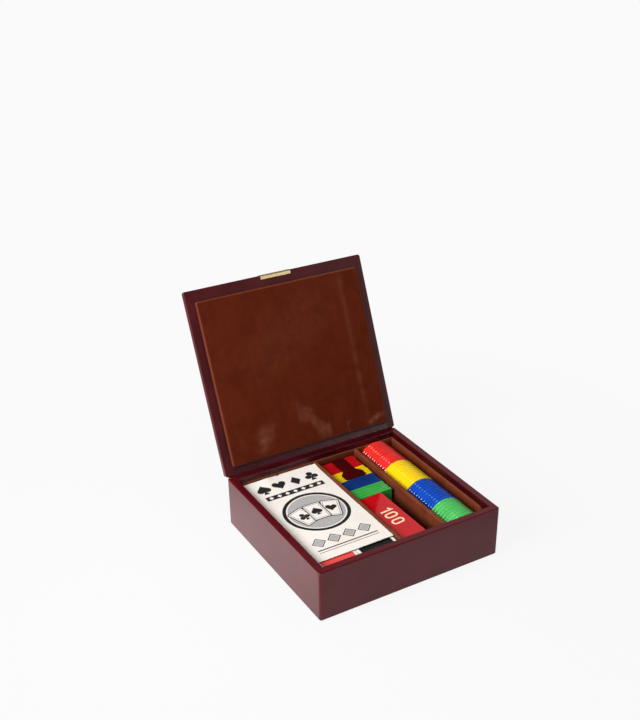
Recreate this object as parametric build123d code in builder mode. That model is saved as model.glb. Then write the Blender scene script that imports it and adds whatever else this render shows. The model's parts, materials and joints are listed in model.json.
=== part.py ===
from build123d import *
import os
from math import cos, hypot, radians, sin

# A hinged, leather covered card box, standing open.
# It holds packs of cards, a booklet of rules, filed and flat plaques, and round chips.
# Origin: centre of the underside. +Z up, front towards -Y. Millimetres.

# Base. Its width, depth and height follow from what it holds.
board_corner_radius = 1.4
rim_radius = 1.6
foot_radius = 1.4

# Sheet and board thicknesses
leather_thickness = 1.2
wall_thickness = 8.4
bottom_thickness = 6.0
cloth_thickness = 1.0
floor_thickness = 2.0
liner_thickness = 2.7
divider_thickness = 5.6
platform_thickness = 3.0

# Clearances: between boards of one body, and around anything that lifts out
board_gap = 0.2
loose_gap = 0.3
cloth_inset = 2.0
turn_in_width = 15.0

# Insert
insert_drop = 8.5
liner_nose_radius = 12.0
batten_width = 8.0

# Lid
lid_opening_angle = 113.0
lid_gap = 0.3
lid_thickness = 9.3
lid_front_lip = 5.0
lid_side_lip = 1.1
lid_edge_radius = 1.5
pad_gap = 0.6
pad_height = 4.6
pad_over_chips_gap = 0.2
pad_crown_height = 1.0
pad_board_height = 2.4
pad_skin_thickness = 1.0
pad_side_taper_angle = 20.0
pad_corner_radius = 3.5

# Brass thumb plate on the front edge of the lid
plate_length = 47.6
plate_leaf_width = 4.6
plate_thickness = 0.6
plate_foot_gap = 2.0
plate_corner_radius = 1.0
prong_radius = 0.75
prong_length = 5.0
prong_spacing = 30.0

# Leather hinge strips
inner_strip_thickness = 0.8
inner_strip_on_lid_length = 9.0
outer_strip_thickness = 1.0
outer_strip_on_base_length = 24.0
outer_strip_on_lid_length = 20.0
outer_strip_inset = 3.0

# Packs of cards
card_width = 57.0
card_length = 88.0
card_corner_radius = 3.5
pack_height = 16.2
pack_gap = 0.6
pack_end_gap = 0.8
pack_right_gap = 2.5

# Booklet of rules
booklet_width = 114.5
booklet_length = 208.0
booklet_height = 2.0
cover_thickness = 0.4
booklet_front_gap = 17.3
booklet_back_gap = 5.0
booklet_side_gap = 1.4
staple_diameter = 0.5
staple_length = 12.0
staple_spacing = 120.0

# Filed plaques, counted from the back wall forwards, and the leather pull that lifts the first two colours
plaque_counts = {"red_plaques": 6, "yellow_plaques": 5, "blue_plaques": 5, "green_plaques": 5}
lifted_files = ("red_plaques", "yellow_plaques")
plaque_width = 56.0
plaque_height = 36.0
plaque_thickness = 4.7
plaque_gap = 0.3
plaque_corner_radius = 2.0
plaque_right_gap = 5.0
plaque_left_gap = 2.4
plaque_back_gap = 6.7
plaque_top_drop = 3.7
pull_thickness = 1.2
tab_thickness = 1.3
tab_stem_width = 20.5
tab_foot_width = 34.0
tab_front_gap = 0.5
tab_foot_length = 12.0
tab_flare_length = 11.0
tab_corner_radius = 3.0

# Long plaques, lying in a pile in front of the filed ones
bar_width = 36.0
bar_length = 115.0
bar_corner_radius = 2.5
bar_count = 7
bar_right_gap = 23.5
bar_back_gap = 1.0
bar_front_gap = 4.0
bar_top_turn_angle = 0.8

# Round chips, standing on edge between the bay's walls, counted from the back wall forwards
chip_counts = {"red_chips": 11, "yellow_chips": 10, "blue_chips": 10, "green_chips": 9}
chip_radius = 30.0
chip_thickness = 5.5
chip_sides = 48
chip_gap = 0.3
chip_side_gap = 0.5

# Bays: each is as wide as what it holds, and all are as deep as the longest of their contents
card_bay_width = max(
    loose_gap + 2 * card_width + pack_gap + pack_right_gap,
    booklet_width + 2 * booklet_side_gap,
)
plaque_bay_width = plaque_left_gap + plaque_width + plaque_right_gap
chip_bay_width = 2 * chip_radius + 2 * chip_side_gap
plaque_pitch = plaque_thickness + plaque_gap
chip_pitch = chip_thickness + chip_gap
filed_depth = sum(plaque_counts.values()) * plaque_pitch
bay_depth = max(
    sum(chip_counts.values()) * chip_pitch,
    plaque_back_gap + filed_depth + bar_back_gap + bar_length + bar_front_gap,
    booklet_front_gap + booklet_length + booklet_back_gap,
    2 * (pack_end_gap + card_length),
)

# Heights, from the underside up
board_bottom = cloth_thickness + leather_thickness
floor_bottom = board_bottom + bottom_thickness
floor_top = floor_bottom + floor_thickness
chip_z = floor_top + loose_gap + chip_radius
base_height = chip_z + chip_radius + pad_over_chips_gap + pad_crown_height + pad_height - lid_gap
insert_top = base_height - insert_drop

# Plan, from the bays outwards
rim_width = wall_thickness + 2 * leather_thickness
bays_width = card_bay_width + plaque_bay_width + chip_bay_width
hole_width = bays_width + 2 * divider_thickness + 2 * liner_thickness
hole_depth = bay_depth + 2 * liner_thickness
base_width = hole_width + 2 * rim_width
base_depth = hole_depth + 2 * rim_width
card_bay_left = liner_thickness - hole_width / 2
plaque_bay_left = card_bay_left + card_bay_width + divider_thickness
chip_bay_left = plaque_bay_left + plaque_bay_width + divider_thickness
bay_front = -bay_depth / 2
bay_back = bay_depth / 2

# The lid's own plane: x along the hinge, y from the hinge to the lid's free edge, z out of its inner face
opening = radians(lid_opening_angle)
hinge_y = base_depth / 2
hinge_z = base_height + lid_gap
lid_plane = Plane(
    origin=(0, hinge_y, hinge_z),
    x_dir=(1, 0, 0),
    z_dir=(0, -sin(opening), -cos(opening)),
)
lid_along = Axis(lid_plane.origin, lid_plane.y_dir)
lid_out = Axis(lid_plane.origin, lid_plane.z_dir)
lid_width = base_width + 2 * lid_side_lip
lid_length = base_depth + lid_front_lip
pad_width = hole_width - 2 * pad_gap
pad_length = hole_depth - inner_strip_thickness - 2 * pad_gap
pad_start = rim_width + inner_strip_thickness + pad_gap
pad_centre = pad_start + pad_length / 2

os.makedirs("parts", exist_ok=True)


def save(piece, name):
    """Label a finished piece and write it under its node's name."""
    piece.part.label = name
    export_step(piece.part, f"parts/{name}.step")


def beside_hinge(along, out):
    """The (y, z) of a point on the open lid: along it from the hinge, and out of its inner face."""
    return (
        hinge_y - along * cos(opening) - out * sin(opening),
        hinge_z + along * sin(opening) - out * cos(opening),
    )


# Carcass: a bottom board and four mitred wall boards

carcass_width = base_width - 2 * leather_thickness
carcass_depth = base_depth - 2 * leather_thickness
wall_height = base_height - leather_thickness - floor_bottom

with BuildPart() as underside_cloth:
    with BuildSketch():
        RectangleRounded(base_width - 2 * cloth_inset, base_depth - 2 * cloth_inset, board_corner_radius)
    extrude(amount=cloth_thickness)
save(underside_cloth, "underside_cloth")

with BuildPart() as base_board:
    with BuildSketch(Plane.XY.offset(board_bottom)):
        RectangleRounded(carcass_width, carcass_depth, board_corner_radius)
    extrude(amount=bottom_thickness)
save(base_board, "base_board")


def mitred_wall(length, across):
    """A wall board as a plan outline: outer edge on -Y, its ends cut at 45 degrees."""
    return [
        (-length / 2, -across / 2),
        (length / 2, -across / 2),
        (length / 2 - wall_thickness, -across / 2 + wall_thickness),
        (-length / 2 + wall_thickness, -across / 2 + wall_thickness),
    ]


walls = {
    "front_wall": (carcass_width, carcass_depth, 0),
    "right_wall": (carcass_depth, carcass_width, 90),
    "back_wall": (carcass_width, carcass_depth, 180),
    "left_wall": (carcass_depth, carcass_width, 270),
}
for wall_name, (length, across, turn) in walls.items():
    with BuildPart() as wall:
        with BuildSketch(Plane.XY.offset(floor_bottom).rotated((0, 0, turn))):
            with BuildLine():
                Polyline(mitred_wall(length, across), close=True)
            make_face()
            RectangleRounded(length, across, board_corner_radius, mode=Mode.INTERSECT)
        extrude(amount=wall_height)
    save(wall, wall_name)

# Leather over the walls: outside, over the rim, down the inside, and turned in underneath
with BuildPart() as base_leather:
    with BuildSketch(Plane.XY.offset(cloth_thickness)):
        RectangleRounded(base_width, base_depth, board_corner_radius + leather_thickness)
    extrude(amount=base_height - cloth_thickness)
    fillet(base_leather.faces().sort_by(Axis.Z)[-1].edges(), rim_radius)
    fillet(base_leather.faces().sort_by(Axis.Z)[0].edges(), foot_radius)
    with BuildSketch(Plane.XY.offset(floor_bottom)):
        RectangleRounded(carcass_width, carcass_depth, board_corner_radius)
        Rectangle(hole_width + 2 * leather_thickness, hole_depth + 2 * leather_thickness, mode=Mode.SUBTRACT)
    extrude(amount=wall_height, mode=Mode.SUBTRACT)
    with BuildSketch(Plane.XY.offset(board_bottom)):
        RectangleRounded(carcass_width, carcass_depth, board_corner_radius)
    extrude(amount=bottom_thickness, mode=Mode.SUBTRACT)
    with BuildSketch(Plane.XY.offset(floor_bottom)):
        Rectangle(hole_width, hole_depth)
    extrude(amount=base_height - floor_bottom, mode=Mode.SUBTRACT)
    with BuildSketch(Plane.XY.offset(cloth_thickness)):
        Rectangle(carcass_width - 2 * turn_in_width, carcass_depth - 2 * turn_in_width)
    extrude(amount=leather_thickness, mode=Mode.SUBTRACT)
save(base_leather, "base_leather")

# Insert: floor, liners, dividers and platforms

with BuildPart() as insert_floor:
    with BuildSketch(Plane.XY.offset(floor_bottom)):
        Rectangle(hole_width - 2 * board_gap, hole_depth - 2 * board_gap)
    extrude(amount=floor_thickness)
save(insert_floor, "insert_floor")

for liner_name, side in (("front_liner", -1), ("back_liner", 1)):
    with BuildPart() as cross_liner:
        with BuildSketch(Plane.XY.offset(floor_top)):
            with Locations((0, side * (hole_depth - liner_thickness) / 2)):
                Rectangle(hole_width - 2 * board_gap, liner_thickness)
        extrude(amount=insert_top - floor_top)
    save(cross_liner, liner_name)

with BuildPart() as left_liner:
    with BuildSketch(Plane.XY.offset(floor_top)):
        with Locations(((liner_thickness - hole_width) / 2, 0)):
            Rectangle(liner_thickness, bay_depth - 2 * board_gap)
    extrude(amount=insert_top - floor_top)
save(left_liner, "left_liner")

with BuildPart() as right_liner:
    with BuildSketch(Plane.XY.offset(floor_top)):
        with Locations(((hole_width - liner_thickness) / 2, 0)):
            Rectangle(liner_thickness, bay_depth - 2 * board_gap)
    extrude(amount=insert_top - floor_top)
    nose = right_liner.edges().filter_by(Axis.X).group_by(Axis.Z)[-1].sort_by(Axis.Y)[0]
    fillet(nose, liner_nose_radius)
save(right_liner, "right_liner")

for divider_name, bay_edge in (("card_divider", plaque_bay_left), ("plaque_divider", chip_bay_left)):
    with BuildPart() as divider:
        with BuildSketch(Plane.XY.offset(floor_top)):
            with Locations((bay_edge - divider_thickness / 2, 0)):
                Rectangle(divider_thickness, bay_depth - 2 * board_gap)
        extrude(amount=insert_top - floor_top)
    save(divider, divider_name)

booklet_bottom = insert_top - booklet_height
card_platform_top = booklet_bottom - pack_height
filed_bottom = insert_top - plaque_top_drop - plaque_height
plaque_platform_top = filed_bottom - pull_thickness
platforms = {
    "card": (card_bay_left, card_bay_width, card_platform_top),
    "plaque": (plaque_bay_left, plaque_bay_width, plaque_platform_top),
}
for bay_name, (bay_left, bay_width, platform_top) in platforms.items():
    batten_height = platform_top - platform_thickness - floor_top
    with BuildPart() as platform:
        with BuildSketch(Plane.XY.offset(platform_top - platform_thickness)):
            with Locations((bay_left + bay_width / 2, 0)):
                Rectangle(bay_width - 2 * board_gap, bay_depth - 2 * board_gap)
        extrude(amount=platform_thickness)
    save(platform, f"{bay_name}_platform")
    with BuildPart() as battens:
        with BuildSketch(Plane.XY.offset(floor_top)):
            with Locations(
                (bay_left + board_gap + batten_width / 2, 0),
                (bay_left + bay_width - board_gap - batten_width / 2, 0),
            ):
                Rectangle(batten_width, bay_depth - 2 * board_gap)
        extrude(amount=batten_height)
    save(battens, f"{bay_name}_platform_battens")

# Lid: board, leather cover, pad board, suede pad and brass thumb plate

prong_depth = -lid_thickness / 2
prong_spots = [(-prong_spacing / 2, 0), (prong_spacing / 2, 0)]
lid_edge_plane = Plane(
    origin=lid_plane.from_local_coords((0, lid_length, prong_depth)),
    x_dir=(1, 0, 0),
    z_dir=lid_plane.y_dir,
)
with BuildSketch(lid_edge_plane) as prong_ends:
    with Locations(prong_spots):
        Circle(prong_radius)

with BuildPart() as lid_board:
    with BuildSketch(lid_plane.offset(-leather_thickness)):
        with Locations((0, lid_length / 2)):
            Rectangle(lid_width - 2 * leather_thickness, lid_length - 2 * leather_thickness)
    extrude(amount=2 * leather_thickness - lid_thickness)
    extrude(prong_ends.sketch, amount=-prong_length, mode=Mode.SUBTRACT)
save(lid_board, "lid_board")

with BuildPart() as lid_leather:
    with BuildSketch(lid_plane):
        with Locations((0, lid_length / 2)):
            RectangleRounded(lid_width, lid_length, board_corner_radius + leather_thickness)
    extrude(amount=-lid_thickness)
    outer_face = lid_leather.faces().sort_by(lid_out)[0]
    fillet(outer_face.edges(), lid_edge_radius)
    with BuildSketch(lid_plane.offset(-leather_thickness)):
        with Locations((0, lid_length / 2)):
            Rectangle(lid_width - 2 * leather_thickness, lid_length - 2 * leather_thickness)
    extrude(amount=2 * leather_thickness - lid_thickness, mode=Mode.SUBTRACT)
    with BuildSketch(lid_plane):
        with Locations((0, pad_centre)):
            Rectangle(pad_width - 2 * pad_skin_thickness, pad_length - 2 * pad_skin_thickness)
    extrude(amount=-leather_thickness, mode=Mode.SUBTRACT)
    extrude(prong_ends.sketch, amount=-prong_length, mode=Mode.SUBTRACT)
save(lid_leather, "lid_leather")

with BuildPart() as lid_pad_board:
    with BuildSketch(lid_plane.offset(-leather_thickness)):
        with Locations((0, pad_centre)):
            Rectangle(pad_width - 2 * pad_skin_thickness, pad_length - 2 * pad_skin_thickness)
    extrude(amount=leather_thickness + pad_board_height)
save(lid_pad_board, "lid_pad_board")

pad_reach = hypot(pad_width, pad_length) / 2
crown_radius = (pad_reach**2 + pad_crown_height**2) / (2 * pad_crown_height)
crown_centre = lid_plane.from_local_coords((0, pad_centre, pad_height + pad_crown_height - crown_radius))
with BuildPart() as lid_pad:
    with BuildSketch(lid_plane):
        with Locations((0, pad_centre)):
            RectangleRounded(pad_width, pad_length, pad_corner_radius)
    extrude(amount=pad_height + pad_crown_height, taper=pad_side_taper_angle)
    with Locations(crown_centre):
        Sphere(crown_radius, mode=Mode.INTERSECT)
    with BuildSketch(lid_plane):
        with Locations((0, pad_centre)):
            Rectangle(pad_width - 2 * pad_skin_thickness, pad_length - 2 * pad_skin_thickness)
    extrude(amount=pad_board_height, mode=Mode.SUBTRACT)
save(lid_pad, "lid_pad")

with BuildPart() as thumb_plate:
    with BuildSketch(lid_plane):
        with Locations((0, lid_length + plate_thickness - (plate_leaf_width + plate_thickness) / 2)):
            Rectangle(plate_length, plate_leaf_width + plate_thickness)
    extrude(amount=plate_thickness)
    with BuildSketch(lid_plane):
        with Locations((0, lid_length + plate_thickness / 2)):
            Rectangle(plate_length, plate_thickness)
    extrude(amount=plate_foot_gap - lid_thickness)
    leaf_corners = thumb_plate.edges().filter_by(lid_out).sort_by(lid_along)[:2]
    fillet(leaf_corners, plate_corner_radius)
    extrude(prong_ends.sketch, amount=-prong_length)
save(thumb_plate, "thumb_plate")

# Hinge: one leather strip inside, over the rim, and one outside, down the back

wall_face = base_depth / 2 - rim_width
strip_corner = beside_hinge(0, 0)
inner_end = beside_hinge(inner_strip_on_lid_length, 0)
inner_end_face = beside_hinge(inner_strip_on_lid_length, inner_strip_thickness)
strip_face = beside_hinge(0, inner_strip_thickness)
rise = (base_height + inner_strip_thickness - strip_face[1]) / sin(opening)
strip_fold = (strip_face[0] - rise * cos(opening), base_height + inner_strip_thickness)
with BuildPart() as hinge_leather_inner:
    with BuildSketch(Plane.YZ):
        with BuildLine():
            Polyline(
                (wall_face - inner_strip_thickness, insert_top),
                (wall_face, insert_top),
                (wall_face, base_height),
                (hinge_y, base_height),
                strip_corner,
                inner_end,
                inner_end_face,
                strip_fold,
                (wall_face - inner_strip_thickness, base_height + inner_strip_thickness),
                close=True,
            )
        make_face()
    extrude(amount=hole_width / 2 - board_gap, both=True)
save(hinge_leather_inner, "hinge_leather_inner")

fold_out = -outer_strip_thickness * (1 - cos(opening)) / sin(opening)
with BuildPart() as hinge_leather_outer:
    with BuildSketch(Plane.YZ):
        with BuildLine():
            Polyline(
                (hinge_y, base_height - outer_strip_on_base_length),
                (hinge_y, hinge_z),
                beside_hinge(0, -lid_thickness),
                beside_hinge(outer_strip_on_lid_length, -lid_thickness),
                beside_hinge(outer_strip_on_lid_length, -lid_thickness - outer_strip_thickness),
                beside_hinge(-outer_strip_thickness, -lid_thickness - outer_strip_thickness),
                beside_hinge(-outer_strip_thickness, fold_out),
                (hinge_y + outer_strip_thickness, base_height - outer_strip_on_base_length),
                close=True,
            )
        make_face()
    extrude(amount=base_width / 2 - outer_strip_inset, both=True)
save(hinge_leather_outer, "hinge_leather_outer")

# Packs of cards: a red and a black one side by side, at each end of their bay

pack_y = bay_back - pack_end_gap - card_length / 2
red_x = card_bay_left + loose_gap + card_width / 2
black_x = red_x + card_width + pack_gap
packs = {
    "red_pack": (red_x, -pack_y),
    "black_pack": (black_x, -pack_y),
    "rear_red_pack": (red_x, pack_y),
    "rear_black_pack": (black_x, pack_y),
}
for pack_name, spot in packs.items():
    with BuildPart() as pack:
        with BuildSketch(Plane.XY.offset(card_platform_top)):
            with Locations(spot):
                RectangleRounded(card_width, card_length, card_corner_radius)
        extrude(amount=pack_height)
    save(pack, pack_name)

# Booklet of rules: a folded cover, its pages, and two staples in the fold

booklet_left = card_bay_left + (card_bay_width - booklet_width) / 2
booklet_y = bay_front + booklet_front_gap + booklet_length / 2
page_height = booklet_height - 2 * cover_thickness
with BuildPart() as booklet_cover:
    with BuildSketch(Plane.XY.offset(booklet_bottom)):
        with Locations((booklet_left + booklet_width / 2, booklet_y)):
            Rectangle(booklet_width, booklet_length)
    extrude(amount=booklet_height)
    with BuildSketch(Plane.XY.offset(booklet_bottom + cover_thickness)):
        with Locations((booklet_left + booklet_width / 2 + cover_thickness, booklet_y)):
            Rectangle(booklet_width, booklet_length)
    extrude(amount=page_height, mode=Mode.SUBTRACT)
save(booklet_cover, "booklet_cover")

with BuildPart() as booklet_pages:
    with BuildSketch(Plane.XY.offset(booklet_bottom + cover_thickness)):
        with Locations((booklet_left + booklet_width / 2, booklet_y)):
            Rectangle(booklet_width - 2 * cover_thickness, booklet_length)
    extrude(amount=page_height)
save(booklet_pages, "booklet_pages")

with BuildPart() as booklet_staples:
    with BuildSketch(Plane.YZ.offset(booklet_left)):
        with Locations(
            (booklet_y - staple_spacing / 2, booklet_bottom + booklet_height / 2),
            (booklet_y + staple_spacing / 2, booklet_bottom + booklet_height / 2),
        ):
            SlotOverall(staple_length, staple_diameter)
    extrude(amount=-staple_diameter)
save(booklet_staples, "booklet_staples")

# Filed plaques, from the back wall forwards

plaque_x = plaque_bay_left + plaque_left_gap + plaque_width / 2
plaque_back = bay_back - plaque_back_gap
for file_name, count in plaque_counts.items():
    file_bottom = filed_bottom if file_name in lifted_files else plaque_platform_top
    with BuildPart() as plaque_file:
        for step in range(count):
            with BuildSketch(Plane.XZ.offset(-plaque_back)):
                with Locations((plaque_x, file_bottom + plaque_height / 2)):
                    RectangleRounded(plaque_width, plaque_height, plaque_corner_radius)
            extrude(amount=plaque_thickness)
            plaque_back -= plaque_pitch
    save(plaque_file, file_name)
filed_front = plaque_back + plaque_gap

# Leather pull: under the red and yellow plaques, up behind them, and its tab over their tops

pull_back = bay_back - plaque_back_gap + loose_gap + pull_thickness
lifted_depth = sum(plaque_counts[name] for name in lifted_files) * plaque_pitch
tab_bottom = filed_bottom + plaque_height + loose_gap
with BuildPart() as pull_strap:
    with BuildSketch(Plane.YZ.offset(plaque_x)):
        with BuildLine():
            Polyline(
                (pull_back, plaque_platform_top),
                (pull_back, tab_bottom + tab_thickness),
                (pull_back - pull_thickness, tab_bottom + tab_thickness),
                (pull_back - pull_thickness, filed_bottom),
                (pull_back - lifted_depth, filed_bottom),
                (pull_back - lifted_depth, plaque_platform_top),
                close=True,
            )
        make_face()
    extrude(amount=tab_stem_width / 2, both=True)
save(pull_strap, "pull_strap")

tab_back = pull_back - pull_thickness
tab_front = pull_back - lifted_depth + tab_front_gap
tab_waist = tab_front + tab_foot_length + tab_flare_length
foot_back = tab_front + tab_foot_length
half_stem = tab_stem_width / 2
half_foot = tab_foot_width / 2
with BuildPart() as pull_tab:
    with BuildSketch(Plane.XY.offset(tab_bottom)):
        with BuildLine():
            Line((plaque_x - half_stem, tab_back), (plaque_x + half_stem, tab_back))
            Line((plaque_x + half_stem, tab_back), (plaque_x + half_stem, tab_waist))
            TangentArc(
                (plaque_x + half_stem, tab_waist),
                (plaque_x + half_foot, foot_back),
                tangent=(0, -1),
            )
            Line((plaque_x + half_foot, foot_back), (plaque_x + half_foot, tab_front))
            Line((plaque_x + half_foot, tab_front), (plaque_x - half_foot, tab_front))
            Line((plaque_x - half_foot, tab_front), (plaque_x - half_foot, foot_back))
            TangentArc(
                (plaque_x - half_stem, tab_waist),
                (plaque_x - half_foot, foot_back),
                tangent=(0, -1),
            )
            Line((plaque_x - half_stem, tab_waist), (plaque_x - half_stem, tab_back))
        make_face()
    extrude(amount=tab_thickness)
    foot_edges = pull_tab.edges().filter_by(Axis.Z).sort_by(Axis.Y)[:2]
    fillet(foot_edges, tab_corner_radius)
save(pull_tab, "pull_tab")

# Long plaques in a pile: the top one has slipped round a little

bar_x = plaque_bay_left + plaque_bay_width - bar_right_gap - bar_width / 2
bar_y = filed_front - bar_back_gap - bar_length / 2
with BuildPart() as long_plaques:
    for layer in range(bar_count - 1):
        with BuildSketch(Plane.XY.offset(plaque_platform_top + layer * plaque_pitch)):
            with Locations((bar_x, bar_y)):
                RectangleRounded(bar_width, bar_length, bar_corner_radius)
        extrude(amount=plaque_thickness)
save(long_plaques, "long_plaques")

with BuildPart() as top_long_plaque:
    with BuildSketch(Plane.XY.offset(plaque_platform_top + (bar_count - 1) * plaque_pitch)):
        with Locations(Location((bar_x, bar_y), bar_top_turn_angle)):
            RectangleRounded(bar_width, bar_length, bar_corner_radius)
    extrude(amount=plaque_thickness)
save(top_long_plaque, "top_long_plaque")

# Round chips in a row, from the back wall forwards. Their rims are many small flats, 0.06 mm inside the round.

chip_x = chip_bay_left + chip_bay_width / 2
chip_y = bay_back - chip_gap / 2
for row_name, count in chip_counts.items():
    with BuildPart() as chip_row:
        for step in range(count):
            with BuildSketch(Plane.XZ.offset(-chip_y)):
                with Locations((chip_x, chip_z)):
                    RegularPolygon(chip_radius, chip_sides)
            extrude(amount=chip_thickness)
            chip_y -= chip_pitch
    save(chip_row, row_name)
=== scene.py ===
import json
import math
import random

import bmesh
import bpy
from mathutils import Matrix, Vector
from mathutils import noise

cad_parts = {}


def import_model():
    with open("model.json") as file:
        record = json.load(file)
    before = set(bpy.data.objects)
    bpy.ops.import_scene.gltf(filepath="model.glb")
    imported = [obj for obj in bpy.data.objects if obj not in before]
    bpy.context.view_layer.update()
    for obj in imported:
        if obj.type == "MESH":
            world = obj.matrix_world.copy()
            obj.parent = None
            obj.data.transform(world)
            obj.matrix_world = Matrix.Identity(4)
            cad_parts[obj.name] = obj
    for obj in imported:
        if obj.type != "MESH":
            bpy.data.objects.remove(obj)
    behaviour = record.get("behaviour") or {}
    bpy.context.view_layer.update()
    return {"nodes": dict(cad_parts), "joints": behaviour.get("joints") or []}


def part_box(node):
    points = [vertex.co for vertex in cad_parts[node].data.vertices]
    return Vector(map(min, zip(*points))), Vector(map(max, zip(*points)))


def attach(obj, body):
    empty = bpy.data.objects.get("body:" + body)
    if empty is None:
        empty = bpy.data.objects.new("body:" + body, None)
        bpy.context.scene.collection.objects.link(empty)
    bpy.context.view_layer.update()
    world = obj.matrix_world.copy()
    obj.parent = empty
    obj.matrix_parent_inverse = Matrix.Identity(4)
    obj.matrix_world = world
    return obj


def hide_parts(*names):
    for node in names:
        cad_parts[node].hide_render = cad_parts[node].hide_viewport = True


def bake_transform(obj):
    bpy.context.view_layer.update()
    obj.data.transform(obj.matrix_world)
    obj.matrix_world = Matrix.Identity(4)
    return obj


# A leather covered games box, standing open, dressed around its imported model.
# Metres, in the part's own frame: underside at z = 0, front towards -Y, hinge along X at the back.

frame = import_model()

MM = 0.001
random.seed(7)
noise.seed_set(131)

joints = {joint["name"]: joint for joint in frame["joints"]}
hinge = Vector(joints["lid_hinge"]["pos_m"])
opening = math.radians(-joints["lid_hinge"]["range_deg"][0])
lid_along = Vector((0, -math.cos(opening), math.sin(opening)))
lid_out = Vector((0, -math.sin(opening), -math.cos(opening)))
lid_matrix = Matrix.Translation(hinge) @ Matrix((
    (1, lid_along.x, lid_out.x, 0),
    (0, lid_along.y, lid_out.y, 0),
    (0, lid_along.z, lid_out.z, 0),
    (0, 0, 0, 1),
))
upright = Matrix.Identity(4)


def lid_box(node):
    """A lid node's corners in the lid's own plane: x, along it from the hinge, out of its inner face."""
    to_lid = lid_matrix.inverted()
    spots = [to_lid @ v.co for v in frame["nodes"][node].data.vertices]
    low = Vector([min(s[i] for s in spots) for i in range(3)])
    high = Vector([max(s[i] for s in spots) for i in range(3)])
    return low, high


# Materials

class Nodes:
    """The nodes of a material or of the world, built from short calls."""

    def __init__(self, tree):
        self.tree = tree

    def fill(self, socket, value):
        """Put a number, a colour or another node's output on a socket."""
        if isinstance(value, bpy.types.NodeSocket):
            self.tree.links.new(value, socket)
        elif isinstance(value, tuple) and len(value) == 3 and socket.type == "RGBA":
            socket.default_value = (*value, 1)
        else:
            socket.default_value = value

    def node(self, kind, inputs=None, **settings):
        """Any node: its inputs by name or number, and its settings."""
        made = self.tree.nodes.new("ShaderNode" + kind)
        for key, value in settings.items():
            setattr(made, key, value)
        for key, value in (inputs or {}).items():
            self.fill(made.inputs[key], value)
        return made

    def span(self, value, low, high, to_low=0.0, to_high=1.0):
        """The value moved from one range to another, and kept inside it."""
        return self.node("MapRange", {"Value": value, "From Min": low, "From Max": high,
                                      "To Min": to_low, "To Max": to_high}).outputs["Result"]

    def math(self, operation, *values):
        return self.node("Math", dict(enumerate(values)), operation=operation).outputs[0]

    def by_ray(self, plain, direct, reflected):
        """A number that differs for plain, camera and mirror or glass rays."""
        path = self.node("LightPath").outputs
        total = plain
        for ray, value in (("Is Camera Ray", direct), ("Is Glossy Ray", reflected),
                           ("Is Transmission Ray", reflected)):
            total = self.math("MULTIPLY_ADD", path[ray], self.math("SUBTRACT", value, plain), total)
        return total


class Surface(Nodes):
    """A procedural material. Places are read in the part's own frame, in metres."""

    def __init__(self, name, **sockets):
        self.material = bpy.data.materials.new(name)
        self.material.use_nodes = True
        super().__init__(self.material.node_tree)
        self.shader = self.tree.nodes["Principled BSDF"]
        self.place = self.node("TexCoord").outputs["Object"]
        for socket, value in sockets.items():
            self.set(socket.replace("_", " "), value)

    def set(self, socket, value):
        self.fill(self.shader.inputs[socket], value)

    def noise(self, size, detail=2.0, roughness=0.5, place=None, distortion=0.0):
        """Noise with features about size across, from 0 to 1."""
        return self.node("TexNoise", {"Vector": place or self.place, "Scale": 1 / size, "Detail": detail,
                                      "Roughness": roughness, "Distortion": distortion}).outputs["Fac"]

    def cells(self, size):
        """Distance to the middle of cells about size across."""
        return self.node("TexVoronoi", {"Vector": self.place, "Scale": 1 / size}).outputs["Distance"]

    def stretched(self, *scale):
        """The surface's places scaled along each axis, for patterns that run one way."""
        return self.node("Mapping", {"Vector": self.place, "Scale": scale}).outputs["Vector"]

    def painted(self, name):
        """A number that the mesh holds at each point."""
        return self.node("Attribute", attribute_name=name).outputs["Fac"]

    def mix(self, share, first, second):
        """A colour between two."""
        return self.node("Mix", {0: share, 6: first, 7: second}, data_type="RGBA").outputs[2]

    def vary(self, pattern, low, high, first, second):
        """Colour the surface from first to second where the pattern goes from low to high."""
        self.set("Base Color", self.mix(self.span(pattern, low, high), first, second))

    def bump(self, height, distance):
        """Relief of that depth, over any relief already there."""
        inputs = {"Height": height, "Distance": distance, "Strength": 1.0}
        if self.shader.inputs["Normal"].links:
            inputs["Normal"] = self.shader.inputs["Normal"].links[0].from_socket
        self.set("Normal", self.node("Bump", inputs).outputs["Normal"])


def leather(name, dark, light, roughness, shine=0.35):
    """Smooth calf: a slightly uneven dye, a fine grain, and a wax shine that varies."""
    grain = 0.009 * MM
    s = Surface(name, Specular_IOR_Level=shine)
    s.vary(s.noise(34 * MM), 0.35, 0.68, dark, light)
    s.set("Roughness", s.span(s.noise(11 * MM, detail=3), 0.3, 0.7, roughness - 0.02, roughness + 0.03))
    s.bump(s.noise(60 * MM, detail=1), 0.12 * MM)
    s.bump(s.cells(0.9 * MM), grain)
    s.bump(s.noise(2.4 * MM, detail=3), grain)
    return s.material


def suede(name, dark, light, wear_and_highlight):
    """Brown suede: brushed patches, a short nap, and paler where it is worn and where an edge highlight is
    painted.
    """
    s = Surface(name, Specular_IOR_Level=0.06, Sheen_Weight=0.02, Sheen_Roughness=0.4,
                Sheen_Tint=(0.8, 0.4, 0.28))
    brushed = s.noise(26 * MM, detail=5, roughness=0.62, distortion=0.6)
    combed = s.noise(7 * MM, detail=3, place=s.stretched(1.0, 0.3, 0.3))
    nap = s.noise(0.55 * MM)
    patch = s.math("ADD", s.math("MULTIPLY", brushed, 0.7), s.math("MULTIPLY", combed, 0.3))
    cloth = s.mix(s.span(patch, 0.36, 0.66), dark, light)
    cloth = s.mix(s.span(nap, 0.3, 0.75, 0.0, 0.22), cloth, light)
    # One painted number holds both real wear and painted edge highlights.
    worn = s.painted("wear_and_highlight")
    s.set("Base Color", s.mix(worn, cloth, wear_and_highlight))
    s.set("Roughness", s.span(worn, 0, 1, 0.92, 0.62))
    s.bump(nap, 0.16 * MM)
    s.bump(brushed, 0.5 * MM)
    return s.material


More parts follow.
